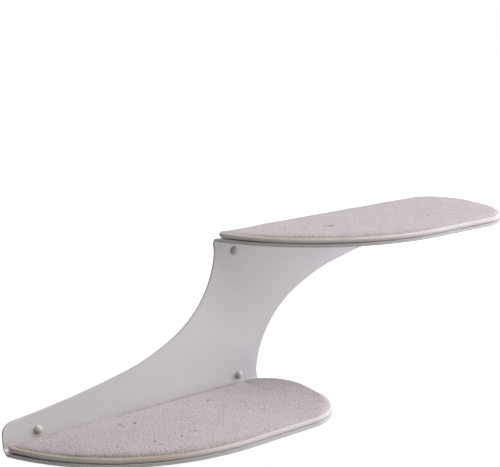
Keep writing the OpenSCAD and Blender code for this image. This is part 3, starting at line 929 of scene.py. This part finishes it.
crown = swell()
for which in ("lower", "upper"):
    body = which + "_pad"
    pile = make_pile(which, crown)
    wear(pile, berber)
    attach(pile, body)
    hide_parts(which + "_carpet")

    tape = make_tape(which)
    wear(tape, twill)
    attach(tape, body)
    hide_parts(which + "_binding")

    stitches = make_stitches(which)
    wear(stitches, thread)
    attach(stitches, body)

    back = make_backing(which)
    wear(back, scrim)
    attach(back, body)
    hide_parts(which + "_backing")

    loop_tape = make_strips(which + "_loop_tape", which, LOOP_LOW, 31)
    wear(loop_tape, curls)
    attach(loop_tape, body)
    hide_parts(which + "_loop_strips")

    hook_tape = make_strips(which + "_hook_tape", which, 0.0, 17)
    wear(hook_tape, hooks)
    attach(hook_tape, "shelf")
    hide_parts(which + "_hook_strips")

cad_wears("bent_shelf", sheet)
cap_look, washer_look, screw_look = cap_material(), washer_material(), screw_material()
for place_name in ("lower_left", "lower_right", "upper_left", "upper_right"):
    cad_wears("cap_" + place_name, cap_look)
    cad_wears("washer_" + place_name, washer_look)
    cad_wears("screw_" + place_name, screw_look)


# ---------------------------------------------------------------- stage, light, camera
def make_floor():
    """A pale floor that keeps the object's shadow near it and turns white for the camera further out."""
    reach, z, n = 12.0, -0.72, 9
    line_of = np.linspace(-reach, reach, n)
    pts = [(x, y, z) for x in line_of for y in line_of]
    faces = [(i * n + j, (i + 1) * n + j, (i + 1) * n + j + 1, i * n + j + 1)
             for i in range(n - 1) for j in range(n - 1)]
    floor = mesh_object("floor", pts, faces)
    mat, tree, shader = start("floor_pale")
    settings(shader, Base_Color=(0.80, 0.80, 0.80, 1), Roughness=0.9, Specular_IOR_Level=0.1,
             Emission_Color=(1, 1, 1, 1))
    away = tree.nodes.new("ShaderNodeVectorMath")
    away.operation = "LENGTH"
    tree.links.new(tree.nodes.new("ShaderNodeTexCoord").outputs["Object"], away.inputs[0])
    glow = span(tree, away.outputs["Value"], 0.2, 3.6, 0.12, 1.0, True)
    seen = tree.nodes.new("ShaderNodeLightPath").outputs["Is Camera Ray"]
    tree.links.new(maths(tree, "MULTIPLY", seen, glow), shader.inputs["Emission Strength"])
    floor.data.materials.append(mat)


def make_world():
    """White to the camera and in mirror images, a dim room as a light."""
    world = bpy.data.worlds.new("studio")
    scene.world = world
    world.use_nodes = True
    tree = world.node_tree
    tree.nodes.clear()
    out = tree.nodes.new("ShaderNodeOutputWorld")
    room = tree.nodes.new("ShaderNodeBackground")
    room.inputs[0].default_value = (0.03, 0.03, 0.03, 1)
    white = tree.nodes.new("ShaderNodeBackground")
    white.inputs[0].default_value = (1, 1, 1, 1)
    path = tree.nodes.new("ShaderNodeLightPath")
    mirrored = maths(tree, "MAXIMUM", path.outputs["Is Glossy Ray"], path.outputs["Is Transmission Ray"])
    mix = tree.nodes.new("ShaderNodeMixShader")
    tree.links.new(maths(tree, "MAXIMUM", path.outputs["Is Camera Ray"], mirrored), mix.inputs[0])
    tree.links.new(room.outputs[0], mix.inputs[1])
    tree.links.new(white.outputs[0], mix.inputs[2])
    tree.links.new(mix.outputs[0], out.inputs[0])


def make_lamp(name, at, aim, size, power, colour):
    lamp = bpy.data.lights.new(name, "AREA")
    lamp.shape = "SQUARE"
    lamp.size = size
    lamp.energy = power
    lamp.color = colour
    obj = bpy.data.objects.new(name, lamp)
    scene.collection.objects.link(obj)
    obj.location = at
    obj.rotation_euler = (Vector(aim) - Vector(at)).to_track_quat("-Z", "Y").to_euler()


def make_camera(eye, right, up, away, lens):
    """The photograph's camera, fitted to its edges: where it stands, its three axes and its focal length."""
    camera = bpy.data.cameras.new("view")
    camera.lens = lens
    camera.sensor_width = 36.0
    camera.sensor_fit = "HORIZONTAL"
    camera.clip_end = 50
    view = bpy.data.objects.new("view", camera)
    scene.collection.objects.link(view)
    turn = Matrix((Vector(right), Vector(up), -Vector(away))).transposed()
    view.matrix_world = Matrix.Translation(Vector(eye)) @ turn.to_4x4()
    scene.camera = view


make_floor()
make_world()
make_lamp("key", (4.6, -1.9, 1.3), (0.0, -0.1, 0.0), 2.6, 282, (0.81, 0.81, 1.0))
make_lamp("top", (0.1, -0.5, 2.1), (0.0, -0.12, 0.0), 1.8, 31, (1.0, 1.0, 1.0))
make_lamp("high", (1.3, -0.95, 4.0), (0.0, -0.12, 0.0), 3.0, 64, (1.0, 1.0, 1.0))
make_lamp("front", (1.8, -4.2, 1.0), (0.0, -0.1, 0.0), 2.6, 31, (1.0, 0.84, 0.48))
make_lamp("behind", (-0.9, 2.6, 0.5), (0.0, 0.0, 0.0), 1.8, 22, (1.0, 0.98, 0.96))
make_camera(eye=(-1.0618, -1.5862, 0.6643), right=(0.82092, -0.57102, -0.00526), up=(0.14949, 0.206, 0.96707),
            away=(0.55114, 0.79467, -0.25447), lens=72.385)
scene.view_settings.view_transform = "Standard"
